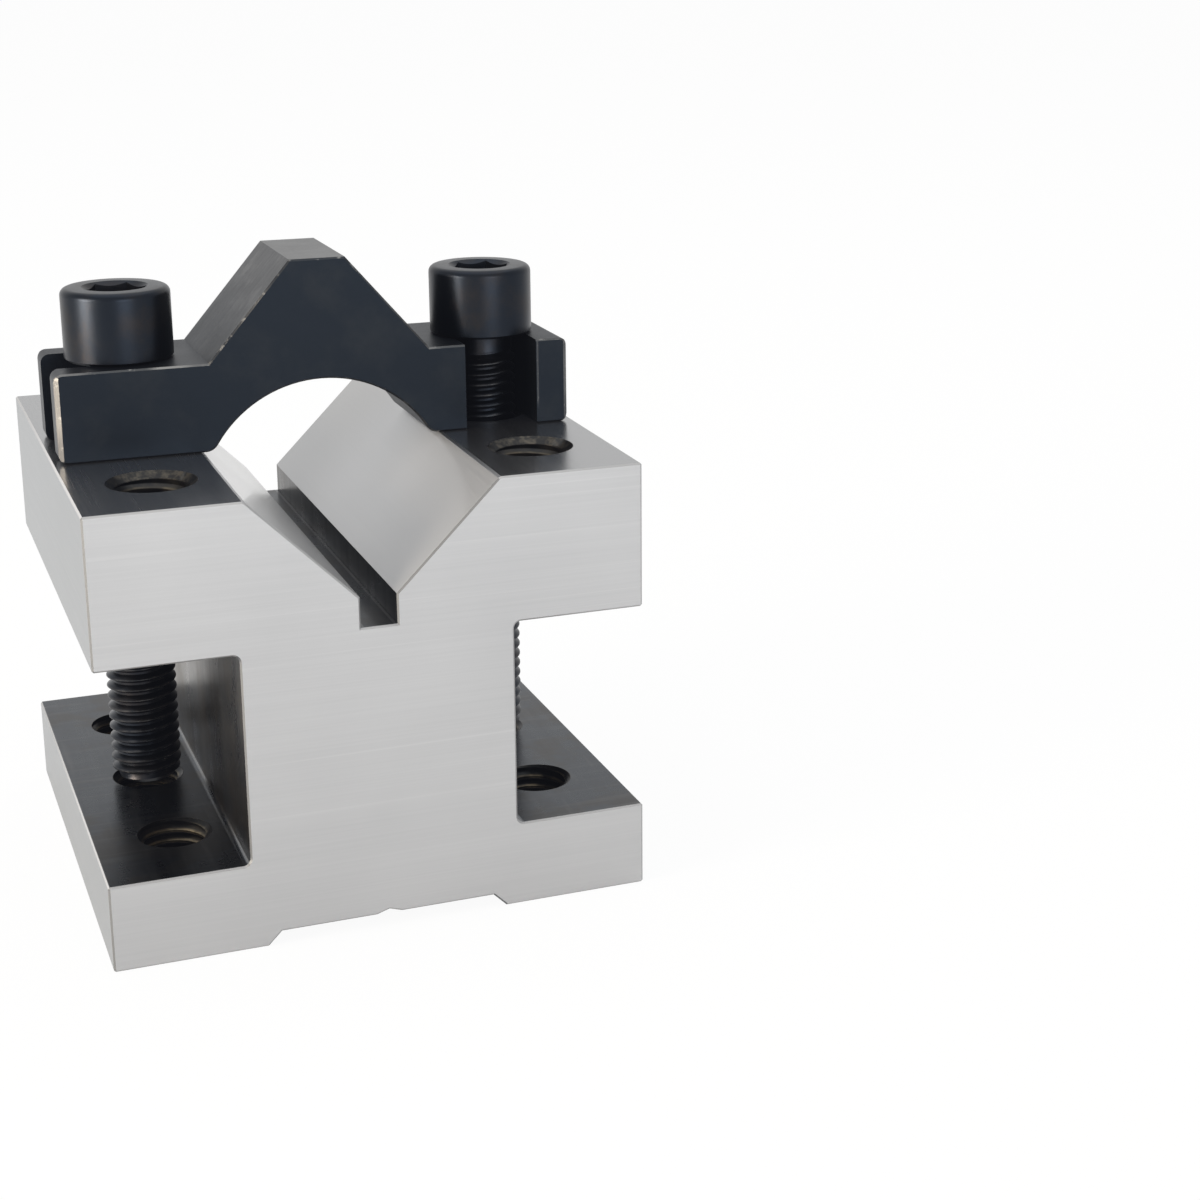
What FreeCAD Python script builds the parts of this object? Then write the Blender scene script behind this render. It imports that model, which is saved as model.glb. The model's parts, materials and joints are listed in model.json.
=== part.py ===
import FreeCAD, Part
import math
import os

from FreeCAD import Vector

# A vee block with its bridge clamp, in millimetres.
# The origin is the middle of the foot. X runs across the vee, Y along it and Z up.
# The block is one ground piece. The clamp lies on its top face over the middle pair of tapped
# holes, and two socket head cap screws pull it down.

# ---- Block -------------------------------------------------------------------------------------
block_width = 60.0
block_length = 60.0
block_height = 50.0
top_flange_thickness = 16.5
foot_flange_thickness = 9.75
web_thickness = 30.0
recess_corner_radius = 0.8
ground_edge_break = 0.2          # stoned chamfer on the outer edges of the block

# ---- Vee, its clearance slot and the channel under the foot --------------------------------------
vee_opening = 27.4
vee_angle = 90.0
vee_slot_width = 4.0
vee_slot_depth = 15.1            # from the top face to the floor of the slot
channel_mouth_width = 27.0
channel_depth = 1.5
channel_side_angle = 45.0
centre_groove_width = 2.8        # fine vee line along the middle of the channel
centre_groove_depth = 0.45

# ---- Tapped holes, drilled through both flanges in one go ----------------------------------------
thread_diameter = 8.0            # M8, drawn as a plain cylinder of the nominal size
thread_clearance = 0.05          # on the radius, between the screw and the wall of its hole
hole_inset = 8.9                 # from the side of the block to the middle of a row of holes
hole_pitch_along = 18.1
holes_in_a_row = 3
countersink_depth = 0.75         # 90 degree countersink, so it widens the hole by as much

# ---- Bridge clamp --------------------------------------------------------------------------------
clamp_end_inset = 0.75           # each arm ends this far inside the side of the block
clamp_width = 15.5
arm_thickness = 10.0
arm_corner_radius = 1.0
arm_end_bevel = 0.5              # on the upright edges at the ends of the arms
clamp_edge_break = 0.2
hump_height = 21.0               # from the underside of the arms to the flat on the hump
hump_top_width = 6.3
hump_foot_width = 25.2
arch_radius = 14.25
arch_rise = 7.35
arch_foot_radius = 1.6
screw_slot_clearance = 0.3       # on each side of the screw

# ---- Socket head cap screws ----------------------------------------------------------------------
screw_length = 50.0              # below the head
screw_point_bevel = 1.0
head_diameter = 12.0
head_height = 8.0
head_rim_radius = 0.8
head_foot_bevel = 0.3
socket_width = 6.0               # across the flats
socket_depth = 4.5
socket_mouth_bevel = 0.25

# ---- Worked out from the sizes above -------------------------------------------------------------
top_face_z = block_height
arm_top_z = top_face_z + arm_thickness
screw_radius = thread_diameter / 2
hole_radius = screw_radius + thread_clearance
row_x = block_width / 2 - hole_inset
cut_margin = 1.0                 # how far a cutter runs past the face it leaves by


def at_each_end(x):
    """The same place on the left and on the right of the middle plane."""
    return (-x, x)


def mirrored_outline(right_half):
    """Close a right-hand half outline, listed from middle to middle, with its mirror image."""
    left_half = [(-x, z) for x, z in reversed(right_half) if x > 0]
    return right_half + left_half


def prism_along_y(outline, length):
    """Extrude an outline in X and Z along Y, centred on the middle of the object."""
    points = [Vector(x, -length / 2, z) for x, z in outline]
    wire = Part.makePolygon(points + points[:1])
    return Part.Face(wire).extrude(Vector(0, length, 0))


def turned_about_z(outline):
    """Revolve an outline in radius and height about the Z axis."""
    points = [Vector(radius, 0, z) for radius, z in outline]
    wire = Part.makePolygon(points + points[:1])
    return Part.Face(wire).revolve(Vector(0, 0, 0), Vector(0, 0, 1), 360)


def runs_along(edge, direction):
    """Tell whether a straight edge lies along the given axis."""
    if not isinstance(edge.Curve, (Part.Line, Part.LineSegment)):
        return False
    along = edge.Vertexes[-1].Point - edge.Vertexes[0].Point
    return along.Length > 0 and along.normalize().cross(direction).Length < 1e-6


def edges_along_y_at(shape, places):
    """The edges along Y that pass through the given places in X and Z."""
    found = []
    for edge in shape.Edges:
        if runs_along(edge, Vector(0, 1, 0)):
            middle = edge.CenterOfMass
            if any(math.hypot(middle.x - x, middle.z - z) < 1e-3 for x, z in places):
                found.append(edge)
    return found


def edges_on_end_faces(shape, length):
    """The outline edges of the two flat ends of a prism along Y."""
    return [edge for edge in shape.Edges if abs(abs(edge.CenterOfMass.y) - length / 2) < 1e-3]


# ---- Block ---------------------------------------------------------------------------------------
def block_outline():
    """Right half of the block's I-section, from the floor of the vee's slot round to the foot."""
    steepness = 1 / math.tan(math.radians(vee_angle / 2))
    vee_edge = vee_opening / 2
    slot_edge = vee_slot_width / 2
    slot_mouth_z = top_face_z - (vee_edge - slot_edge) * steepness
    side = block_width / 2
    web_side = web_thickness / 2
    flange_underside_z = top_face_z - top_flange_thickness
    channel_side = channel_mouth_width / 2
    channel_floor = channel_side - channel_depth / math.tan(math.radians(channel_side_angle))
    return mirrored_outline([
        (0, top_face_z - vee_slot_depth),
        (slot_edge, top_face_z - vee_slot_depth),
        (slot_edge, slot_mouth_z),
        (vee_edge, top_face_z),
        (side, top_face_z),
        (side, flange_underside_z),
        (web_side, flange_underside_z),
        (web_side, foot_flange_thickness),
        (side, foot_flange_thickness),
        (side, 0),
        (channel_side, 0),
        (channel_floor, channel_depth),
        (centre_groove_width / 2, channel_depth),
        (0, channel_depth + centre_groove_depth),
    ])


def round_recess_corners(block):
    """Round the inner corners of the side recesses, as the milling cutter leaves them."""
    corner_heights = (foot_flange_thickness, top_face_z - top_flange_thickness)
    corners = [(x, z) for x in at_each_end(web_thickness / 2) for z in corner_heights]
    return block.makeFillet(recess_corner_radius, edges_along_y_at(block, corners))


def break_block_edges(block):
    """Chamfer the sharp outer edges: the long ones of both flanges and the outline of both ends."""
    side = block_width / 2
    heights = (0, foot_flange_thickness, top_face_z - top_flange_thickness, top_face_z)
    corners = [(x, z) for x in at_each_end(side) for z in heights]
    corners += [(x, top_face_z) for x in at_each_end(vee_opening / 2)]
    sharp = edges_along_y_at(block, corners) + edges_on_end_faces(block, block_length)
    return block.makeChamfer(ground_edge_break, sharp)


def tapped_hole_cutter():
    """One drill through both flanges, with the countersink in the top face."""
    return turned_about_z([
        (0, -cut_margin),
        (hole_radius, -cut_margin),
        (hole_radius, top_face_z - countersink_depth),
        (hole_radius + countersink_depth, top_face_z),
        (hole_radius + countersink_depth, top_face_z + cut_margin),
        (0, top_face_z + cut_margin),
    ])


def hole_places():
    """Middles of the tapped holes, both rows, counted from the middle of the block."""
    first = -hole_pitch_along * (holes_in_a_row - 1) / 2
    rows = [first + hole_pitch_along * number for number in range(holes_in_a_row)]
    return [(x, y) for x in at_each_end(row_x) for y in rows]


def make_block():
    block = prism_along_y(block_outline(), block_length)
    block = round_recess_corners(block)
    block = break_block_edges(block)
    for x, y in hole_places():
        cutter = tapped_hole_cutter()
        cutter.translate(Vector(x, y, 0))
        block = block.cut(cutter)
    return block


# ---- Bridge clamp --------------------------------------------------------------------------------
def clamp_end_x():
    return block_width / 2 - clamp_end_inset


def clamp_outline():
    """The clamp's side view without its arch: two arms and the trapezoid hump between them."""
    return mirrored_outline([
        (0, top_face_z),
        (clamp_end_x(), top_face_z),
        (clamp_end_x(), arm_top_z),
        (hump_foot_width / 2, arm_top_z),
        (hump_top_width / 2, top_face_z + hump_height),
        (0, top_face_z + hump_height),
    ])


def arch_cutter():
    """Round cutter along Y whose crown stands arch_rise above the underside of the arms."""
    start = Vector(0, -clamp_width / 2 - cut_margin, top_face_z + arch_rise - arch_radius)
    return Part.makeCylinder(arch_radius, clamp_width + 2 * cut_margin, start, Vector(0, 1, 0))


def arch_foot_x():
    """Half the span of the arch at the underside of the arms."""
    return math.sqrt(arch_radius ** 2 - (arch_radius - arch_rise) ** 2)


def round_clamp_corners(clamp):
    """Round the feet of the arch and the corners at the ends of the arms."""
    feet = [(x, top_face_z) for x in at_each_end(arch_foot_x())]
    ends = [(x, z) for x in at_each_end(clamp_end_x()) for z in (top_face_z, arm_top_z)]
    clamp = clamp.makeFillet(arch_foot_radius, edges_along_y_at(clamp, feet))
    return clamp.makeFillet(arm_corner_radius, edges_along_y_at(clamp, ends))


def slot_cutter(middle_x, way_out):
    """Round-ended slot for a screw at middle_x, open towards the direction way_out."""
    radius = screw_radius + screw_slot_clearance
    height = arm_thickness + 2 * cut_margin
    middle = Vector(middle_x, 0, top_face_z - cut_margin)
    reach = block_width
    round_end = Part.makeCylinder(radius, height, middle)
    if way_out.x:
        channel = Part.makeBox(reach, 2 * radius, height, middle + Vector(-reach, -radius, 0))
    else:
        channel = Part.makeBox(2 * radius, reach, height, middle + Vector(-radius, -reach, 0))
    return round_end.fuse(channel).removeSplitter()


def bevelled_plan():
    """A tall block over the clamp's plan view, whose four upright edges carry the end bevels."""
    end_x = clamp_end_x()
    start = Vector(-end_x, -clamp_width / 2, top_face_z - cut_margin)
    plan = Part.makeBox(2 * end_x, clamp_width, hump_height + 2 * cut_margin, start)
    uprights = [edge for edge in plan.Edges if runs_along(edge, Vector(0, 0, 1))]
    return plan.makeChamfer(arm_end_bevel, uprights)


def break_clamp_edges(clamp):
    """Chamfer the outlines of the two long faces, apart from the uprights at the arm ends."""
    outlines = edges_on_end_faces(clamp, clamp_width)
    sharp = [edge for edge in outlines if not runs_along(edge, Vector(0, 0, 1))]
    return clamp.makeChamfer(clamp_edge_break, sharp)


def make_clamp():
    clamp = prism_along_y(clamp_outline(), clamp_width).cut(arch_cutter())
    clamp = round_clamp_corners(clamp).common(bevelled_plan())
    clamp = break_clamp_edges(clamp)
    clamp = clamp.cut(slot_cutter(-row_x, Vector(-1, 0, 0)))
    return clamp.cut(slot_cutter(row_x, Vector(0, -1, 0)))


# ---- Socket head cap screw -----------------------------------------------------------------------
def screw_body():
    """Head and shank as one turned piece, standing on z = 0 at the underside of the head."""
    head_radius = head_diameter / 2
    return turned_about_z([
        (0, -screw_length),
        (screw_radius - screw_point_bevel, -screw_length),
        (screw_radius, -screw_length + screw_point_bevel),
        (screw_radius, 0),
        (head_radius - head_foot_bevel, 0),
        (head_radius, head_foot_bevel),
        (head_radius, head_height),
        (0, head_height),
    ])


def socket_cutter():
    """Hexagonal socket with two corners on the X axis, and the cone that bevels its mouth."""
    corner_radius = socket_width / math.sqrt(3)
    corners = []
    for number in range(6):
        angle = math.radians(60 * number)
        floor_z = head_height - socket_depth
        corners.append(Vector(corner_radius * math.cos(angle), corner_radius * math.sin(angle), floor_z))
    hexagon = Part.Face(Part.makePolygon(corners + corners[:1]))
    socket = hexagon.extrude(Vector(0, 0, socket_depth + cut_margin))
    mouth = turned_about_z([
        (0, head_height - socket_mouth_bevel),
        (corner_radius, head_height - socket_mouth_bevel),
        (corner_radius + socket_mouth_bevel + cut_margin, head_height + cut_margin),
        (0, head_height + cut_margin),
    ])
    return socket.fuse(mouth)


def make_screw(x):
    screw = screw_body()
    rim = [
        edge for edge in screw.Edges
        if abs(edge.CenterOfMass.z - head_height) < 1e-3 and isinstance(edge.Curve, Part.Circle)
    ]
    screw = screw.makeFillet(head_rim_radius, rim)
    screw = screw.cut(socket_cutter())
    screw.translate(Vector(x, 0, arm_top_z))
    return screw


def main():
    os.makedirs("parts", exist_ok=True)
    pieces = {
        "vee_block": make_block(),
        "bridge_clamp": make_clamp(),
        "clamp_screw_left": make_screw(-row_x),
        "clamp_screw_right": make_screw(row_x),
    }
    for name, shape in pieces.items():
        shape.exportStep("parts/" + name + ".step")


main()
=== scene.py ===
"""Finishes, screw threads and a small studio for a ground vee block with its bridge clamp."""
import json
import math

import bmesh
import bpy
from mathutils import Matrix, Vector


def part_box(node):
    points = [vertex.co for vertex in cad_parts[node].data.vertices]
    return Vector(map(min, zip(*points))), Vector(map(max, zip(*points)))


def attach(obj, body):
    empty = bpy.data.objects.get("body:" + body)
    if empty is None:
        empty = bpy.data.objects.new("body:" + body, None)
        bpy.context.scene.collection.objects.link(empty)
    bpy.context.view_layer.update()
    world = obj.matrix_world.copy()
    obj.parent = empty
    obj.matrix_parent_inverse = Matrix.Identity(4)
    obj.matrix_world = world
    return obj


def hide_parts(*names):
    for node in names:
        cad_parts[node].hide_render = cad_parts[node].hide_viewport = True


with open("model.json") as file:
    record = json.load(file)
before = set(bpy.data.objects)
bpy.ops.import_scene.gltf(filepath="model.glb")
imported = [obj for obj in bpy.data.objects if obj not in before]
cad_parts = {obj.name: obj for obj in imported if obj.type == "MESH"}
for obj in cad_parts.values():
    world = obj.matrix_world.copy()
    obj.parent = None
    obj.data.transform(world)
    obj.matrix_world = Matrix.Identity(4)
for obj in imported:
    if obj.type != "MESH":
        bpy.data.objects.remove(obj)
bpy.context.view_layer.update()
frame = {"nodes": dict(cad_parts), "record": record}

bl_info = {
    "name": "Vee Block Finisher",
    "version": (1, 0, 0),
    "blender": (4, 5, 0),
    "location": "3D View > Sidebar > Vee Block",
    "description": "Gives a packed vee block its ground and blackened finishes, threads and studio",
    "category": "Object",
}

MM = 0.001


# ---- What the frame says -----------------------------------------------------------------------

def mount(name):
    """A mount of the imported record, by its name."""
    return next(m for m in frame["record"]["mounts"] if m["name"] == name)


def middle_of(node):
    """The middle of a node's box."""
    low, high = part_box(node)
    return (low + high) / 2


BLOCK_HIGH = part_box("vee_block")[1]
SCREW_LOW, SCREW_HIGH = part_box("clamp_screw_right")
CLAMP_LOW, CLAMP_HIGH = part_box("bridge_clamp")
ROW_X = middle_of("clamp_screw_right").x
HOLE_PITCH = mount("top_holes")["dims"]["spacing_y_mm"] / 2 * MM
HOLE_RADIUS = mount("top_holes")["dims"]["hole_r_mm"] * MM
FOOT_THICKNESS = mount("foot_middle_hole_left")["dims"]["length_mm"] * MM
ARM_THICKNESS = 10 * MM
ARM_FOOT = CLAMP_LOW.z
ARM_TOP = ARM_FOOT + ARM_THICKNESS
SLOT_SIDE = ROW_X + 4.4 * MM


# ---- Sizes and colours that a user may change --------------------------------------------------

def length(name, description, default):
    return bpy.props.FloatProperty(
        name=name, description=description, default=default, min=0.0,
        subtype="DISTANCE", unit="LENGTH", precision=6)


def share(name, description, default, most=1.0):
    return bpy.props.FloatProperty(
        name=name, description=description, default=default, min=0.0, max=most, subtype="FACTOR")


def colour(name, description, default):
    return bpy.props.FloatVectorProperty(
        name=name, description=description, default=default, size=3, min=0.0, max=1.0,
        subtype="COLOR")


class VeeBlockSizes(bpy.types.PropertyGroup):
    """Sizes of the block's faces, of the threads and of the screws."""

    top_flange: length("Top flange", "Thickness of the flange under the top face", 16.5 * MM)
    foot_flange: length("Foot flange", "Thickness of the flange of the foot", FOOT_THICKNESS)
    slot_half_width: length("Vee slot", "Half the width of the slot under the vee", 2 * MM)
    slot_floor: length("Slot floor", "Height of the slot's floor", 34.9 * MM)
    slot_mouth: length("Slot mouth", "Height at which the vee's faces meet the slot", 38.3 * MM)
    channel_half_width: length("Channel", "Half the width of the channel under the foot", 13.5 * MM)
    channel_depth: length("Channel depth", "Depth of the channel under the foot", 1.5 * MM)
    countersink: length("Countersink", "Depth of the 90 degree countersinks", 0.75 * MM)
    thread_pitch: length("Thread pitch", "Pitch of the M8 coarse thread", 1.25 * MM)
    screw_crest: length("Screw crest", "Radius of the screws' thread over its crests", 3.95 * MM)
    screw_root: length("Screw root", "Radius of the screws' thread at its root", 3.24 * MM)
    hole_crest: length("Hole crest", "Radius inside the crests of the tapped thread", 3.38 * MM)
    neck_length: length("Neck", "Plain length of a screw under its head", 1.9 * MM)
    neck_radius: length("Neck radius", "Radius of the plain neck", 3.62 * MM)
    point_bevel: length("Point", "Bevel on the point of a screw", 1 * MM)
    head_height: length("Head height", "Height of a screw's head", 8 * MM)
    head_rim: length("Head rim", "Radius round the top of a head", 0.8 * MM)
    head_foot: length("Head foot", "Bevel round the underside of a head", 0.3 * MM)
    socket_width: length("Socket", "Width of the socket across its flats", 6 * MM)
    socket_depth: length("Socket depth", "Depth of the socket", 4.5 * MM)
    socket_mouth: length("Socket mouth", "Radius of the bevel round the socket", 3.68 * MM)


class VeeBlockColours(bpy.types.PropertyGroup):
    """Metal colours and how smooth each finish is."""

    ground_light: colour("Ground steel, light", "Fresh grinding marks", (0.53, 0.535, 0.54))
    ground_dark: colour("Ground steel, dark", "Between the grinding marks", (0.42, 0.425, 0.435))
    ground_mark: colour("Ground steel, marks", "The brightest grinding marks", (0.62, 0.62, 0.62))
    # Painted shade: the sides are set darker than the rest, and a little blue.
    ground_side_shade: colour("Ground steel, sides", "The two sides, slightly bluish",
                        (0.290, 0.315, 0.335))
    # Painted shade: the top face is set darker than the rest.
    ground_top_shade: colour("Ground steel, top", "The lapped top face", (0.36, 0.36, 0.36))
    # Painted light and shade: the vee is paler at the front than at the back.
    vee_front_lit: colour("Vee, front", "Faces of the vee near the front", (0.74, 0.74, 0.74))
    vee_back_shaded: colour("Vee, back", "Faces of the vee near the back", (0.45, 0.45, 0.45))
    # Broken edges: partly their own duller finish, partly painted shade that dims their glints.
    edge_dull_and_shade: colour("Broken edges", "Bevels round the block", (0.38, 0.38, 0.38))
    # Painted shade on the bevels that face the left lamp.
    edge_lamp_side_shade: colour("Broken edges, left", "Bevels that face left", (0.13, 0.14, 0.15))
    scale_grey: colour("Scale, grey", "Heat-treated faces that aren't ground",
                       (0.064, 0.071, 0.080))
    scale_brown: colour("Scale, brown", "Oily brown patches of the scale", (0.075, 0.064, 0.050))
    scale_rubbed: colour("Scale, rubbed", "Rubs and scratches in the scale", (0.15, 0.15, 0.15))
    # Painted shade on the slot's walls, and a painted highlight in the corners of its floor.
    slot_wall_shade: colour("Slot, dark", "Walls of the slot under the vee", (0.012, 0.012, 0.012))
    slot_line_highlight: colour("Slot, line", "Line in the corners of the slot's floor", (0.26, 0.26, 0.26))
    pit_dark: colour("Countersinks, dark", "Main colour of the countersinks",
                     (0.030, 0.030, 0.030))
    pit_brown: colour("Countersinks, brown", "Brown pits in the countersinks",
                      (0.085, 0.077, 0.064))
    # Painted shade: the walls of the tapped holes are set near-black.
    hole_wall_shade: colour("Holes, dark", "Oily walls of the tapped holes", (0.020, 0.021, 0.022))
    # Painted glints on the crests of the threads in the holes.
    hole_glint_gold: colour("Holes, gold", "Crests of the threads in the holes", (0.30, 0.245, 0.16))
    black_blue: colour("Blackening, blue", "Main colour of the clamp", (0.0145, 0.0185, 0.0245))
    black_grey: colour("Blackening, grey", "Thin places in the blackening", (0.050, 0.052, 0.052))
    slope_bare: colour("Hump, milled", "Slopes and flat of the clamp's hump", (0.13, 0.13, 0.13))
    screw_blue: colour("Screw, blue", "Main colour of the screws", (0.017, 0.021, 0.028))
    screw_brown: colour("Screw, brown", "Brown bloom on the screws", (0.036, 0.030, 0.026))
    bare_steel: colour("Bare steel", "Where the blackening has worn off", (0.46, 0.45, 0.43))
    ground_roughness: share("Ground roughness", "Roughness of the ends and sides", 0.34)
    lapped_roughness: share("Lapped roughness", "Roughness of the top face", 0.25)
    vee_roughness: share("Vee roughness", "Roughness of the faces of the vee", 0.50)
    edge_roughness: share("Edge roughness", "Roughness of the block's broken edges", 0.60)
    scale_roughness: share("Scale roughness", "Roughness of the heat-treated faces", 0.30)
    hole_roughness: share("Hole roughness", "Roughness inside the tapped holes", 0.34)
    clamp_roughness: share("Clamp roughness", "Roughness of the clamp", 0.42)
    screw_roughness: share("Screw roughness", "Roughness of the screws", 0.33)


class VeeBlockStudio(bpy.types.PropertyGroup):
    """The camera, the floor and the room."""

    camera_place: bpy.props.FloatVectorProperty(
        name="Camera", description="Where the camera stands", size=3, subtype="TRANSLATION",
        unit="LENGTH", default=(-0.05398, -0.24589, 0.10894))
    camera_aim: bpy.props.FloatVectorProperty(
        name="Aim", description="A point straight ahead of the camera", size=3,
        subtype="TRANSLATION", unit="LENGTH", default=(0.04680, 0.0, 0.03387))
    camera_roll: bpy.props.FloatProperty(
        name="Roll", description="Turn of the camera about its own line of sight",
        default=math.radians(0.14), subtype="ANGLE", unit="ROTATION")
    lens: bpy.props.FloatProperty(
        name="Lens", description="Focal length on a 36 mm sensor", default=65.43, min=1.0,
        subtype="DISTANCE_CAMERA", unit="CAMERA")
    shift: bpy.props.FloatVectorProperty(
        name="Shift", description="Shift of the lens, as a share of the picture's width", size=2,
        default=(-0.0667, -0.0667))
    floor_size: length("Floor", "Width of the floor", 12.0)
    floor_glow: share("Floor glow", "How far the floor is lifted to white", 0.94)
    floor_mirrored: share("Floor mirrored", "The same where metal mirrors the floor", 0.58)
    # Painted shadow: in mirrors the floor is darker close to the block.
    floor_mirrored_shadow: share("Floor mirrored near", "The same close to the block", 0.44)
    floor_near: length("Floor near", "Distance from the middle where the floor is near", 30 * MM)
    floor_far: length("Floor far", "Distance from the middle where the floor is far", 260 * MM)
    floor_grey: share("Floor grey", "How pale the floor is where it isn't lifted", 0.82)
    room_light: share("Room light", "Light from all round on matt surfaces", 0.75, 4.0)
    room_height: bpy.props.FloatProperty(
        name="Room height", description="How far up the white room turns pale grey",
        default=math.radians(10), subtype="ANGLE", unit="ROTATION")
    room_grey: share("Room grey", "Brightness of the room above that", 0.80)


# A faint glow on every metal: painted light that lifts the deepest shade, like the haze a bright
# room lays over it.
HAZE_GLOW = (0.0042, 0.0045, 0.0058, 1.0)

# Roughness of the film of oil on the vee, and of steel worn bare.
OIL_ROUGHNESS = 0.12
WORN_ROUGHNESS = 0.36


# ---- Shader maths ------------------------------------------------------------------------------

class Wire:
    """A shader socket in hand. Sums on it add Math nodes, or Vector Math nodes on a vector."""

    def __init__(self, finish, socket):
        self.finish = finish
        self.socket = socket

    def _sum(self, operation, *terms):
        return self.finish.sum(operation, *terms)

    def __add__(self, other):
        return self._sum("ADD", self, other)

    def __radd__(self, other):
        return self._sum("ADD", other, self)

    def __sub__(self, other):
        return self._sum("SUBTRACT", self, other)

    def __rsub__(self, other):
        return self._sum("SUBTRACT", other, self)

    def __mul__(self, other):
        return self._sum("MULTIPLY", self, other)

    def __rmul__(self, other):
        return self._sum("MULTIPLY", other, self)

    def __pow__(self, other):
        return self._sum("POWER", self, other)

    def __abs__(self):
        return self._sum("ABSOLUTE", self)


class Finish:
    """The nodes of one material or world, built one at a time."""

    def __init__(self, data):
        self.data = data
        data.use_nodes = True
        self.tree = data.node_tree
        self.tree.nodes.clear()

    def node(self, kind, settings=None, sockets=None, output=0):
        """Add a node: its settings first, then the values or wires of its sockets."""
        made = self.tree.nodes.new("ShaderNode" + kind)
        for name, value in (settings or {}).items():
            setattr(made, name, value)
        for name, value in (sockets or {}).items():
            if isinstance(value, Wire):
                self.tree.links.new(value.socket, made.inputs[name])
            else:
                made.inputs[name].default_value = value
        return Wire(self, made.outputs[output]) if len(made.outputs) else None

    def sum(self, operation, *terms):
        on_vectors = any(isinstance(t, Wire) and t.socket.type == "VECTOR" for t in terms)
        kind = "VectorMath" if on_vectors else "Math"
        return self.node(kind, {"operation": operation}, dict(enumerate(terms)))

    def least(self, a, b):
        return self.sum("MINIMUM", a, b)

    def most(self, a, b):
        return self.sum("MAXIMUM", a, b)

    def vector(self, x, y, z):
        return self.node("CombineXYZ", None, {"X": x, "Y": y, "Z": z})

    def parts(self, vector):
        split = self.node("SeparateXYZ", None, {"Vector": vector})
        return [Wire(self, socket) for socket in split.socket.node.outputs]

    def place(self):
        """Where the surface is, in metres, on the piece itself."""
        return self.node("TexCoord", output="Object")

    def facing(self):
        """Which way the surface faces, on the piece itself."""
        return self.node("TexCoord", output="Normal")

    def fade(self, value, start, end):
        """0 up to start, 1 from end on, and smooth between. It may run downwards."""
        return self.node("MapRange", {"interpolation_type": "SMOOTHSTEP"},
                         {"Value": value, "From Min": start, "From Max": end})

    def between(self, value, low, high, blur):
        return self.fade(value, low - blur, low) * self.fade(value, high + blur, high)

    def noise(self, where, scale, detail=2.0, roughness=0.5):
        return self.node("TexNoise", {"noise_dimensions": "3D"},
                         {"Vector": where, "Scale": scale, "Detail": detail,
                          "Roughness": roughness})

    def mix(self, factor, first, second):
        """A number or a colour between first and second."""
        colours = any(isinstance(v, tuple) or (isinstance(v, Wire) and v.socket.type == "RGBA")
                      for v in (first, second))
        if colours:
            made = self.node("Mix", {"data_type": "RGBA"}, {0: factor, 6: first, 7: second}, 2)
        else:
            made = self.node("Mix", {"data_type": "FLOAT"}, {0: factor, 2: first, 3: second})
        return made

    def bump(self, height, distance, strength):
        return self.node("Bump", None,
                         {"Height": height, "Distance": distance, "Strength": strength})

    def output(self, shader):
        kind = "OutputWorld" if isinstance(self.data, bpy.types.World) else "OutputMaterial"
        self.node(kind, None, {"Surface": shader})

    def metal(self, base, roughness, normal, oiled=0.0):
        # Every metal glows faintly: the painted haze that lifts the deepest shade.
        self.output(self.node("BsdfPrincipled", None, {
            "Base Color": base, "Metallic": 1.0, "Roughness": roughness, "Normal": normal,
            "Coat Weight": oiled, "Coat Roughness": OIL_ROUGHNESS,
            "Emission Color": HAZE_GLOW, "Emission Strength": 1.0}))
        return self.data


def opaque(rgb):
    return (rgb[0], rgb[1], rgb[2], 1.0)


def grey(value):
    return (value, value, value, 1.0)


# ---- Finishes ----------------------------------------------------------------------------------

def near_hole_axis(finish, x, y):
    """Distance from the middle line of the nearest tapped hole."""
    aside = abs(x) - ROW_X
    along = finish.least(abs(y), abs(abs(y) - HOLE_PITCH))
    return (aside * aside + along * along) ** 0.5


def unground(finish, x, z, near_hole, end_face, sizes):
    """1 wherever the grinder never reaches: the recesses, the holes, the vee's slot and the
    channel. Then 1 in the slot alone, and 1 in the holes alone."""
    edge = 0.03 * MM
    side_ward = 1 - end_face
    recess = finish.between(z, sizes.foot_flange - edge,
                            BLOCK_HIGH.z - sizes.top_flange + edge, edge)
    slot = (finish.between(z, sizes.slot_floor - edge, sizes.slot_mouth - edge, edge)
            * finish.fade(abs(x), sizes.slot_half_width + 2 * edge, sizes.slot_half_width + edge))
    channel = (finish.between(z, edge, sizes.channel_depth + 0.5 * MM, edge)
               * finish.fade(abs(x), sizes.channel_half_width + edge, sizes.channel_half_width))
    flat = finish.most(finish.most(recess, slot), channel) * side_ward
    top_z = BLOCK_HIGH.z - sizes.countersink
    mouth = HOLE_RADIUS + edge + finish.most(z - top_z, 0.0)
    hole = finish.fade(near_hole - mouth, edge, 0.0)
    return finish.most(flat, hole), slot * side_ward, hole


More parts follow.
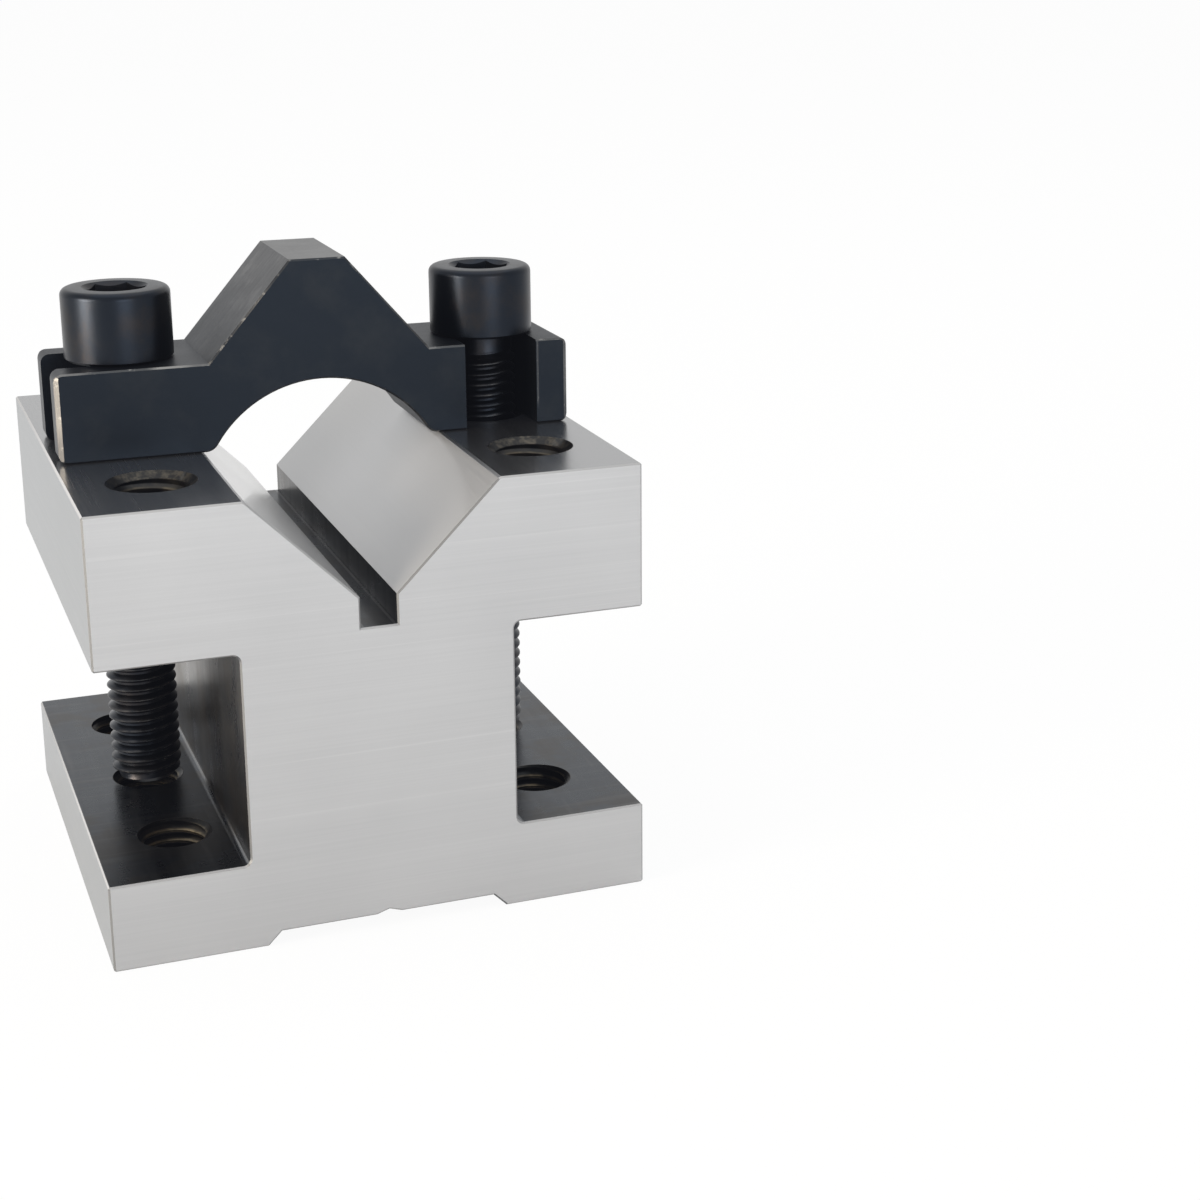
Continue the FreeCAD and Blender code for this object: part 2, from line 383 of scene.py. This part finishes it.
def ground_and_scale(sizes, colours):
    """Ground steel outside, dark heat-treatment scale wherever the grinder doesn't reach."""
    finish = Finish(bpy.data.materials.new("ground_steel"))
    place = finish.place()
    x, y, z = finish.parts(place)
    nx, ny, nz = finish.parts(finish.facing())
    end_face = finish.fade(abs(ny), 0.55, 0.75)
    near_hole = near_hole_axis(finish, x, y)

    # The marks run across the ends, and along the block everywhere else.
    across = finish.mix(end_face, x * nz - z * nx, z)
    along = finish.mix(end_face, y, x)
    face = nx * 1.7 + ny * 2.3 + nz * 0.9
    fine = finish.noise(finish.vector(across * 5200, along * 26, face), 1.0, 3.0, 0.6)
    broad = finish.noise(finish.vector(across * 420, along * 9, face), 1.0, 2.0)
    scratch = finish.noise(finish.vector(across * 2600, along * 14, face + 7.0), 1.0, 1.0)
    bright_mark = finish.fade(scratch, 0.66, 0.74)
    cloud = finish.noise(place, 55.0, 3.0)

    strength = 0.3 + end_face * 0.3
    marks = 0.5 + ((fine - 0.5) * 0.9 + (broad - 0.5) * 0.35) * strength + (cloud - 0.5) * 0.4
    steel = finish.mix(marks, opaque(colours.ground_dark), opaque(colours.ground_light))
    steel = finish.mix(bright_mark * strength * 0.25, steel, opaque(colours.ground_mark))

    # Painted light and shade: the vee is paler towards the front and darker towards the back, and
    # the sides are darker and a little blue.
    vee = finish.between(abs(nx), 0.6, 0.8, 0.05) * finish.fade(nz, 0.5, 0.6)
    vee_painted_light = finish.mix(finish.fade(y, -12 * MM, 24 * MM), opaque(colours.vee_front_lit),
                           opaque(colours.vee_back_shaded))
    steel = finish.mix(vee * 0.8, steel, vee_painted_light)
    # Painted shade on the sides.
    side = finish.fade(abs(nx), 0.9, 0.98)
    steel = finish.mix(side * 0.8, steel, opaque(colours.ground_side_shade))

    # Broken edges are darkened, partly as their own duller finish and partly as painted shade that
    # dims their glints; those that face the left lamp get the most painted shade.
    broken_edge = finish.between(abs(ny), 0.2, 0.95, 0.05) * finish.fade(near_hole, 6 * MM, 7 * MM)
    steel = finish.mix(broken_edge * 0.7, steel, opaque(colours.edge_dull_and_shade))
    # Painted shade on the bevels that face the left lamp.
    lamp_side_shade = broken_edge * finish.fade(nx, -0.3, -0.5)
    steel = finish.mix(lamp_side_shade * 0.85, steel, opaque(colours.edge_lamp_side_shade))

    # The top face is lapped smoother than the rest, and set darker as painted shade.
    top = (finish.fade(nz, 0.9, 0.98)
           * finish.fade(z, BLOCK_HIGH.z - 0.3 * MM, BLOCK_HIGH.z - 0.1 * MM))
    steel = finish.mix(top * 0.6, steel, opaque(colours.ground_top_shade))
    smooth = finish.mix(top, colours.ground_roughness, colours.lapped_roughness)
    smooth = finish.mix(vee, smooth, colours.vee_roughness)
    smooth = finish.mix(broken_edge, smooth, colours.edge_roughness)
    steel_roughness = smooth + (fine - 0.5) * 0.10 + (cloud - 0.5) * 0.06

    # The scale is patchy, smeared upright on the web and scratched both ways on the foot.
    dark, in_slot, in_hole = unground(finish, x, z, near_hole, end_face, sizes)
    patch = finish.noise(place, 150.0, 5.0, 0.62)
    smear = finish.noise(place, 150.0, 1.0)
    web = finish.fade(abs(nx), 0.6, 0.9)
    floor = finish.fade(nz, 0.8, 0.95)
    rub = finish.noise(finish.vector(finish.mix(web, across * 620, y * 300),
                                     finish.mix(web, along * 45, z * 24), face), 1.0, 2.0, 0.55)
    crossed = finish.noise(finish.vector(along * 900, across * 45, face), 1.0, 2.0, 0.6)
    brown = finish.least(finish.fade(patch, 0.44, 0.60) * 0.45 + web * 0.5, 1.0)
    scale = finish.mix(brown, opaque(colours.scale_grey), opaque(colours.scale_brown))
    rubbed = opaque(colours.scale_rubbed)
    scale = finish.mix(finish.fade(rub, 0.55, 0.78) * (0.45 - web * 0.25), scale, rubbed)
    scale = finish.mix(finish.fade(crossed, 0.5, 0.75) * floor * 0.35, scale, rubbed)

    # Painted shade darkens the walls of the vee's slot, and a painted highlight draws a pale line
    # in the corner of its floor.
    scale = finish.mix(in_slot * (0.9 - floor * 0.65), scale, opaque(colours.slot_wall_shade))
    junction_highlight = finish.between(abs(x), sizes.slot_half_width - 0.36 * MM,
                              sizes.slot_half_width - 0.14 * MM, 0.08 * MM)
    scale = finish.mix(in_slot * floor * junction_highlight * 0.55, scale, opaque(colours.slot_line_highlight))

    # The countersinks are pitted.
    pits = finish.noise(place, 1100.0, 4.0, 0.65)
    burr = finish.mix(finish.fade(pits, 0.42, 0.66), opaque(colours.pit_dark),
                      opaque(colours.pit_brown))
    scale = finish.mix(in_hole, scale, burr)
    scale_roughness = (colours.scale_roughness + (patch - 0.5) * 0.20 + (rub - 0.5) * 0.15
                       + (crossed - 0.5) * 0.10 + in_hole * 0.12)

    base = finish.mix(dark, steel, scale)
    roughness = finish.mix(dark, steel_roughness, scale_roughness)
    marks_height = fine * 0.7 + broad * 0.3
    scale_height = smear * 1.2 + rub * 0.35 + crossed * 0.12 + in_hole * pits * 2.5
    height = finish.mix(dark, marks_height, scale_height)
    normal = finish.bump(height, distance=0.004 * MM, strength=0.6)
    return finish.metal(base, roughness, normal, oiled=vee * 0.7)


def blackened(name, blue, other, patchy, roughness, bare_and_glint, wear_and_glints, slopes=None, milled=None):
    """Black oxide on steel, cloudy and slightly grainy. A second colour goes where the given mask
    says: worn steel, partly a painted highlight, on the clamp and screws, and painted golden glints
    in the tapped holes. Slopes says where it was milled, and milled is its colour there."""
    finish = Finish(bpy.data.materials.new(name))
    place = finish.place()
    cloud = finish.noise(place, 190.0, 4.0, 0.6)
    grain = finish.noise(place, 3400.0, 2.0, 0.6)
    base = finish.mix(finish.fade(cloud, 0.40, 0.75) * patchy, opaque(blue), opaque(other))
    rough = roughness + (cloud - 0.5) * 0.14 + (grain - 0.5) * 0.08
    if slopes:
        on_slope = slopes(finish)
        base = finish.mix(on_slope, base, opaque(milled))
        rough = rough - on_slope * 0.05
    # Worn steel and painted highlight on the clamp and screws, painted golden glints in the tapped
    # holes.
    worn = wear_and_glints(finish)
    base = finish.mix(worn, base, opaque(bare_and_glint))
    rough = finish.mix(worn, rough, WORN_ROUGHNESS)
    normal = finish.bump(grain * 0.5 + cloud, distance=0.012 * MM, strength=0.55)
    return finish.metal(base, rough, normal)


def clamp_wear_and_highlight(finish):
    """Worn places on the clamp: a thin rubbed line with brighter specks on its broken edges, and a
    line beside its right slot. The bevels of its left end are lighter still, partly rubbed and
    partly a painted highlight from the left lamp."""
    place = finish.place()
    x, _, z = finish.parts(place)
    nx, ny, _ = finish.parts(finish.facing())
    edge = finish.fade(abs(ny), 0.15, 0.35) * finish.fade(abs(ny), 0.98, 0.92)
    speck = finish.fade(finish.noise(place, 900.0, 4.0, 0.7), 0.54, 0.66)
    rubbed = finish.fade(finish.noise(place, 120.0, 2.0), 0.40, 0.62)
    # Partly rubbed, partly a painted highlight from the left lamp: the bevels of the left end.
    end_edge_wear_and_highlight = (finish.fade(x, CLAMP_LOW.x + 0.75 * MM, CLAMP_LOW.x + 0.45 * MM)
                * finish.fade(abs(nx), 0.3, 0.5) * finish.fade(abs(ny), 0.3, 0.5))
    above = finish.fade(z, ARM_FOOT + 0.5 * MM, ARM_FOOT + 1.5 * MM)
    arm_top = (finish.between(z, ARM_TOP - 0.6 * MM, ARM_TOP + 0.2 * MM, 0.2 * MM)
               * finish.fade(ny, -0.15, -0.35))
    slot_edge = (finish.between(x, SLOT_SIDE, SLOT_SIDE + 0.15 * MM, 0.06 * MM)
                 * finish.fade(ny, -0.9, -0.98)
                 * finish.between(z, ARM_TOP - 6.5 * MM, ARM_TOP, 2 * MM))
    worn = (edge * (0.04 + (rubbed * 0.12 + speck * 0.30) * above) + end_edge_wear_and_highlight * 0.15
            + edge * arm_top * (0.06 + rubbed * 0.22) + slot_edge * (0.08 + speck * 0.3))
    return finish.least(worn, 1.0)


def tapped_glints(finish):
    """Painted glints: golden crests along the threads of the holes, brighter in the foot than in
    the top.
    """
    place = finish.place()
    x, y, z = finish.parts(place)
    inward = HOLE_RADIUS - near_hole_axis(finish, x, y)
    crest = finish.fade(inward, 0.38 * MM, 0.60 * MM)
    speck = finish.fade(finish.noise(place, 420.0, 3.0, 0.6), 0.35, 0.65)
    low = finish.fade(z, FOOT_THICKNESS + 1 * MM, FOOT_THICKNESS)
    return crest * (0.10 + speck * 0.45) * (0.35 + low * 0.65)


def screw_wear_and_highlight(finish):
    """Slightly lighter crests along the thread: partly rubbing, partly a painted highlight."""
    place = finish.place()
    x, y, z = finish.parts(place)
    radius = ((abs(x) - ROW_X) * (abs(x) - ROW_X) + y * y) ** 0.5
    shank = finish.fade(z, ARM_TOP - 1 * MM, ARM_TOP - 1.5 * MM)
    crest = finish.between(radius, 3.86 * MM, 4.0 * MM, 0.08 * MM)
    speck = finish.fade(finish.noise(place, 700.0, 3.0, 0.6), 0.40, 0.65)
    return shank * crest * (0.02 + speck * 0.07)


def clamp_slopes(finish):
    """The milled slopes and flat of the hump, and the streaks that run along them. The slopes are
    darker towards their foot: painted shade.
    """
    place = finish.place()
    x, y, z = finish.parts(place)
    nx, ny, nz = finish.parts(finish.facing())
    slope = (finish.between(abs(nx), 0.6, 0.95, 0.05) * finish.fade(abs(ny), 0.3, 0.2)
             * finish.fade(z, ARM_TOP, ARM_TOP + 0.6 * MM))
    flat = (finish.fade(z, CLAMP_HIGH.z - 0.3 * MM, CLAMP_HIGH.z - 0.1 * MM)
            * finish.fade(nz, 0.8, 0.9))
    streak = finish.noise(finish.vector(y * 1700, z * 110, x * 110), 1.0, 4.0, 0.65)
    cloud = finish.noise(place, 330.0, 4.0, 0.65)
    # Painted shade: less of the milled colour towards the foot of the slopes.
    height = finish.fade(z, ARM_TOP, CLAMP_HIGH.z)
    rubbed = finish.fade(streak, 0.35, 0.7) * 0.25 + finish.fade(cloud, 0.45, 0.65) * 0.3
    on_slope = slope * (height * 0.42 + rubbed * (0.35 + height * 0.65))
    return finish.most(on_slope, flat * 1.1)


# ---- Turned and threaded shapes ----------------------------------------------------------------

SCREW_STEPS = 96
HOLE_STEPS = 64
RIM_STEPS = 6
WELD = 0.0005 * MM
SHARP_ANGLE = math.radians(28)


class Turning:
    """Collects the rings of one shape that goes round an upright axis."""

    def __init__(self, steps):
        self.steps = steps
        self.points = []
        self.faces = []

    def angle(self, step):
        return 2 * math.pi * step / self.steps

    def point(self, step, radius, height):
        turn = self.angle(step)
        self.points.append((radius * math.cos(turn), radius * math.sin(turn), height))
        return len(self.points) - 1

    def ring(self, radius, height):
        """A ring. Radius and height are numbers, or functions of the angle."""
        made = []
        for step in range(self.steps):
            turn = self.angle(step)
            r = radius(turn) if callable(radius) else radius
            h = height(turn) if callable(height) else height
            made.append(self.point(step, r, h))
        return made

    def skin(self, first, second):
        for step in range(self.steps):
            after = (step + 1) % self.steps
            self.faces.append((first[step], first[after], second[after], second[step]))

    def skins(self, *rings):
        for first, second in zip(rings, rings[1:]):
            self.skin(first, second)

    def close(self, ring, height):
        """A shallow cone from a ring to a point on the axis."""
        tip = self.point(0, 0.0, height)
        for step in range(self.steps):
            self.faces.append((ring[step], ring[(step + 1) % self.steps], tip))

    def thread(self, profile, pitch, low, high, trim):
        """A right-hand thread from low to high. Profile lists (share of the pitch, radius), and
        trim(radius, height) cuts it down near its ends. Gives its lowest and highest ring."""
        loops = list(profile) + [(1.0, profile[0][1])]

        def radius_at(phase):
            phase = phase % 1.0
            for (p0, r0), (p1, r1) in zip(loops, loops[1:]):
                if p0 <= phase <= p1:
                    return r0 + (r1 - r0) * (phase - p0) / (p1 - p0)
            return profile[0][1]

        turns = math.ceil((high - low) / pitch) + 1
        rows = [(turn, phase, radius) for turn in range(-1, turns) for phase, radius in profile]
        columns = []
        for turn, phase, radius in rows:
            column = []
            for step in range(self.steps):
                rise = step / self.steps
                height = low + (turn + phase + rise) * pitch
                if height < low or height > high:
                    height = min(max(height, low), high)
                    at_end = radius_at((height - low) / pitch - rise)
                    column.append(self.point(step, trim(at_end, height), height))
                else:
                    column.append(self.point(step, trim(radius, height), height))
            columns.append(column)
        per_turn = len(profile)
        for row in range(len(rows) - 1):
            for step in range(self.steps):
                if step + 1 < self.steps:
                    right, right_up = columns[row][step + 1], columns[row + 1][step + 1]
                elif row + 1 + per_turn < len(rows):
                    right, right_up = columns[row + per_turn][0], columns[row + 1 + per_turn][0]
                else:
                    right = right_up = columns[-1][0]
                self.faces.append((columns[row][step], right, right_up, columns[row + 1][step]))
        return columns[0], columns[-1]

    def mesh(self, name, places):
        """The finished mesh, copied to each place, with its corners kept sharp."""
        work = bmesh.new()
        for place in places:
            made = [work.verts.new(Vector(p) + Vector(place)) for p in self.points]
            for face in self.faces:
                corners = [made[i] for n, i in enumerate(face) if i not in face[:n]]
                if len(corners) > 2:
                    work.faces.new(corners)
        bmesh.ops.remove_doubles(work, verts=work.verts, dist=WELD)
        bmesh.ops.dissolve_degenerate(work, dist=WELD, edges=work.edges)
        bmesh.ops.recalc_face_normals(work, faces=work.faces)
        for face in work.faces:
            face.smooth = True
        data = bpy.data.meshes.new(name)
        work.to_mesh(data)
        work.free()
        data.set_sharp_from_angle(angle=SHARP_ANGLE)
        return data


def put(name, data, material, body):
    """An object made of the mesh, riding on a body, with its material and slot."""
    piece = bpy.data.objects.new(name, data)
    bpy.context.scene.collection.objects.link(piece)
    data.materials.append(material)
    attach(piece, body)
    return piece


def screw_mesh(name, axis, sizes):
    """A socket head cap screw: rolled thread, plain neck, rounded head and hexagon socket."""
    turned = Turning(SCREW_STEPS)
    crest, root = sizes.screw_crest, sizes.screw_root
    low, top = SCREW_LOW.z, SCREW_HIGH.z
    seat = top - sizes.head_height
    neck_z = seat - sizes.neck_length
    run_out = 0.8 * sizes.thread_pitch
    worn = 0.035 * MM
    profile = [(0.0, root), (0.20, root), (0.53, crest - worn), (0.57, crest), (0.65, crest),
               (0.69, crest - worn)]

    def trim(radius, height):
        point = crest - sizes.point_bevel + (height - low)
        faded = min(1.0, max(0.0, (height - neck_z + run_out) / run_out))
        return min(radius, point) * (1 - faded) + sizes.neck_radius * faded

    tip, shank = turned.thread(profile, sizes.thread_pitch, low, neck_z, trim)
    turned.close(tip, low)
    outer = (SCREW_HIGH.x - SCREW_LOW.x) / 2
    rim = sizes.head_rim
    rings = [shank, turned.ring(sizes.neck_radius, seat),
             turned.ring(outer - sizes.head_foot, seat), turned.ring(outer, seat + sizes.head_foot)]
    for step in range(RIM_STEPS + 1):
        turn = math.pi / 2 * step / RIM_STEPS
        rings.append(turned.ring(outer - rim + rim * math.cos(turn),
                                 top - rim + rim * math.sin(turn)))

    def hexagon(turn):
        return sizes.socket_width / 2 / math.cos((turn % (math.pi / 3)) - math.pi / 6)

    mouth = sizes.socket_mouth
    mouth_slope = 0.7
    floor = top - sizes.socket_depth
    drill_radius = sizes.socket_width / 2 * 0.9
    drill_point = 0.9 * MM
    rings += [turned.ring(mouth, top),
              turned.ring(hexagon, lambda turn: top - (mouth - hexagon(turn)) * mouth_slope),
              turned.ring(hexagon, floor),
              turned.ring(drill_radius, floor)]
    turned.skins(*rings)
    turned.close(rings[-1], floor - drill_point)
    return turned.mesh(name, [(axis.x, axis.y, 0.0)])


def tapped_mesh(name, low, high, mouth_z, lead_in, places, sizes):
    """The thread inside tapped holes, as a thin sleeve against the wall of each. Below the mouth
    it is cut back by the lead_in, in mm for each mm of depth."""
    turned = Turning(HOLE_STEPS)
    wall = HOLE_RADIUS - 0.01 * MM
    thinnest = 0.005 * MM
    crest = sizes.hole_crest
    worn = 0.03 * MM
    profile = [(0.0, wall - worn), (0.10, wall - worn), (0.42, crest + worn), (0.46, crest),
               (0.64, crest), (0.68, crest + worn)]

    def trim(radius, height):
        return min(max(radius, HOLE_RADIUS + (height - mouth_z) * lead_in), wall - thinnest)

    inner_low, inner_high = turned.thread(profile, sizes.thread_pitch, low, high, trim)
    outer_low = turned.ring(wall, low)
    outer_high = turned.ring(wall, high)
    turned.skins(inner_high, outer_high, outer_low, inner_low)
    return turned.mesh(name, places)


# ---- Operators ---------------------------------------------------------------------------------

class VEEBLOCK_OT_block(bpy.types.Operator):
    """Give the block its ground faces and dark unground recesses"""

    bl_idname = "veeblock.block"
    bl_label = "Finish the Block"

    def execute(self, context):
        scene = context.scene
        node = frame["nodes"]["vee_block"]
        steel = ground_and_scale(scene.veeblock_sizes, scene.veeblock_colours)
        node.material_slots[0].material = steel
        return {"FINISHED"}


class VEEBLOCK_OT_tapped_holes(bpy.types.Operator):
    """Cut the threads of the free tapped holes in both flanges"""

    bl_idname = "veeblock.tapped_holes"
    bl_label = "Thread the Holes"

    def execute(self, context):
        sizes = context.scene.veeblock_sizes
        colours = context.scene.veeblock_colours
        # The tapped threads are near-black painted shade, with painted golden glints on their
        # crests.
        steel = blackened("tapped_steel", colours.hole_wall_shade, colours.scale_brown, patchy=0.6,
                          roughness=colours.hole_roughness, bare_and_glint=colours.hole_glint_gold,
                          wear_and_glints=tapped_glints)
        rows = [-ROW_X, ROW_X]
        ends = [-HOLE_PITCH, HOLE_PITCH]
        free_top = [(x, y, 0.0) for x in rows for y in ends]
        all_foot = [(x, y, 0.0) for x in rows for y in ends + [0.0]]
        inset = 0.01 * MM
        top = BLOCK_HIGH.z
        mouth = top - sizes.countersink
        foot = sizes.foot_flange
        upper = tapped_mesh("top_hole_threads", top - sizes.top_flange + inset,
                            mouth - 0.06 * MM, mouth, lead_in=1.0, places=free_top, sizes=sizes)
        lower = tapped_mesh("foot_hole_threads", inset, foot - inset, foot, lead_in=1.6,
                            places=all_foot, sizes=sizes)
        put("top_hole_threads", upper, steel, "block")
        put("foot_hole_threads", lower, steel, "block")
        return {"FINISHED"}


class VEEBLOCK_OT_clamp(bpy.types.Operator):
    """Blacken the bridge clamp and wear its edges"""

    bl_idname = "veeblock.clamp"
    bl_label = "Finish the Clamp"

    def execute(self, context):
        colours = context.scene.veeblock_colours
        node = frame["nodes"]["bridge_clamp"]
        node.material_slots[0].material = blackened(
            "clamp_black", colours.black_blue, colours.black_grey, patchy=0.16,
            roughness=colours.clamp_roughness, bare_and_glint=colours.bare_steel, wear_and_glints=clamp_wear_and_highlight,
            slopes=clamp_slopes, milled=colours.slope_bare)
        return {"FINISHED"}


class VEEBLOCK_OT_screws(bpy.types.Operator):
    """Make the two threaded clamp screws"""

    bl_idname = "veeblock.screws"
    bl_label = "Make the Screws"

    def execute(self, context):
        sizes = context.scene.veeblock_sizes
        colours = context.scene.veeblock_colours
        black = blackened("screw_black", colours.screw_blue, colours.screw_brown, patchy=0.6,
                          roughness=colours.screw_roughness, bare_and_glint=colours.bare_steel,
                          wear_and_glints=screw_wear_and_highlight)
        for side in ("left", "right"):
            node = "clamp_screw_" + side
            name = "threaded_screw_" + side
            data = screw_mesh(name, middle_of(node), sizes)
            piece = put(name, data, black, side + "_screw")
            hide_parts(node)
        return {"FINISHED"}


class VEEBLOCK_OT_studio(bpy.types.Operator):
    """Set up the floor, the lamps, the white room and the camera"""

    bl_idname = "veeblock.studio"
    bl_label = "Set Up the Studio"

    def execute(self, context):
        studio = context.scene.veeblock_studio
        context.scene.view_settings.view_transform = "Standard"
        make_floor(studio)
        light_the_room(context.scene, studio)
        add_lamps()
        context.scene.camera = make_camera(studio)
        return {"FINISHED"}


def seen_rays(finish):
    """1 for rays from the camera, and 1 for rays from a mirror or through glass."""
    path = finish.node("LightPath").socket.node.outputs
    mirrored = finish.most(Wire(finish, path["Is Glossy Ray"]),
                           Wire(finish, path["Is Transmission Ray"]))
    return Wire(finish, path["Is Camera Ray"]), mirrored


def make_floor(studio):
    """A wide pale floor just under the block, with a painted shadow close to the block where metal
    mirrors it.
    """
    half = studio.floor_size / 2
    drop = 0.05 * MM
    data = bpy.data.meshes.new("floor")
    corners = [(x * half, y * half, -drop) for x, y in ((-1, -1), (1, -1), (1, 1), (-1, 1))]
    data.from_pydata(corners, [], [(0, 1, 2, 3)])
    floor = bpy.data.objects.new("floor", data)
    bpy.context.scene.collection.objects.link(floor)
    finish = Finish(bpy.data.materials.new("pale_floor"))
    camera, mirrored = seen_rays(finish)
    x, y, _ = finish.parts(finish.place())
    away = (x * x + y * y) ** 0.5
    # Painted shadow: where metal mirrors the floor, it is darker close to the block.
    mirrored_glow_with_shadow = finish.mix(finish.fade(away, studio.floor_near, studio.floor_far),
                               studio.floor_mirrored_shadow, studio.floor_mirrored)
    glow = finish.most(camera * studio.floor_glow, mirrored * mirrored_glow_with_shadow)
    matt = finish.node("BsdfDiffuse", None, {"Color": grey(studio.floor_grey)})
    white = finish.node("Emission", None, {"Color": grey(1.0), "Strength": 1.0})
    finish.output(finish.node("MixShader", None, {0: glow, 1: matt, 2: white}))
    data.materials.append(finish.data)
    return floor


def light_the_room(scene, studio):
    """White where it is seen. In mirrors it is white near the floor and pale grey above, and on
    matt surfaces it is soft and even."""
    scene.world = bpy.data.worlds.new("studio_room")
    finish = Finish(scene.world)
    camera, mirrored = seen_rays(finish)
    _, _, rise = finish.parts(finish.node("TexCoord", output="Generated"))
    high = finish.fade(rise, 0.0, math.sin(studio.room_height)) * (1 - camera)
    walls = finish.mix(high, grey(1.0), grey(studio.room_grey))
    seen = finish.node("Background", None, {"Color": walls, "Strength": 1.0})
    unseen = finish.node("Background", None, {"Color": grey(1.0), "Strength": studio.room_light})
    both = finish.node("MixShader", None, {0: finish.most(camera, mirrored), 1: unseen, 2: seen})
    finish.output(both)


def add_lamps():
    """Soft lamps low at the left and in front, and a wide one above."""
    for name, place, size, watts, hue in (
            ("left_lamp", (-0.65, -0.175, 0.14), 0.28, 6.5, (1.0, 0.86, 0.70)),
            ("front_lamp", (0.16, -0.95, 0.16), 0.45, 2.4, (1.0, 1.0, 1.0)),
            ("top_lamp", (0.05, 0.10, 0.90), 1.00, 3.0, (1.0, 1.0, 1.0))):
        data = bpy.data.lights.new(name, "AREA")
        data.size = size
        data.energy = watts
        data.color = hue
        lamp = bpy.data.objects.new(name, data)
        lamp.location = place
        aim = Vector((0.0, 0.0, BLOCK_HIGH.z / 2)) - Vector(place)
        lamp.rotation_mode = "QUATERNION"
        lamp.rotation_quaternion = aim.to_track_quat("-Z", "Y")
        lamp.visible_camera = False
        bpy.context.scene.collection.objects.link(lamp)


def make_camera(studio):
    """The camera, with its lens shifted a little and no blur."""
    data = bpy.data.cameras.new("camera")
    data.sensor_width = 36.0
    data.lens = studio.lens
    data.shift_x, data.shift_y = studio.shift
    data.clip_start = 0.01
    data.clip_end = 50.0
    camera = bpy.data.objects.new("camera", data)
    place = Vector(studio.camera_place)
    look = (Vector(studio.camera_aim) - place).to_track_quat("-Z", "Y").to_matrix().to_4x4()
    roll = Matrix.Rotation(studio.camera_roll, 4, "Z")
    camera.matrix_world = Matrix.Translation(place) @ look @ roll
    bpy.context.scene.collection.objects.link(camera)
    return camera


class VEEBLOCK_PT_parts(bpy.types.Panel):
    """Lists the steps that dress the vee block"""

    bl_idname = "VEEBLOCK_PT_parts"
    bl_label = "Vee Block"
    bl_space_type = "VIEW_3D"
    bl_region_type = "UI"
    bl_category = "Vee Block"

    def draw(self, context):
        for step in STEPS:
            self.layout.operator(step.bl_idname)


STEPS = (VEEBLOCK_OT_block, VEEBLOCK_OT_tapped_holes, VEEBLOCK_OT_clamp, VEEBLOCK_OT_screws,
         VEEBLOCK_OT_studio)
GROUPS = {"veeblock_sizes": VeeBlockSizes, "veeblock_colours": VeeBlockColours,
          "veeblock_studio": VeeBlockStudio}


def register():
    for group in GROUPS.values():
        bpy.utils.register_class(group)
    for name, group in GROUPS.items():
        setattr(bpy.types.Scene, name, bpy.props.PointerProperty(type=group))
    for step in STEPS + (VEEBLOCK_PT_parts,):
        bpy.utils.register_class(step)


def unregister():
    for step in reversed(STEPS + (VEEBLOCK_PT_parts,)):
        bpy.utils.unregister_class(step)
    for name in GROUPS:
        delattr(bpy.types.Scene, name)
    for group in reversed(list(GROUPS.values())):
        bpy.utils.unregister_class(group)


def main():
    register()
    bpy.ops.veeblock.block()
    bpy.ops.veeblock.tapped_holes()
    bpy.ops.veeblock.clamp()
    bpy.ops.veeblock.screws()
    bpy.ops.veeblock.studio()
    bpy.context.view_layer.update()


if __name__ == "__main__":
    main()
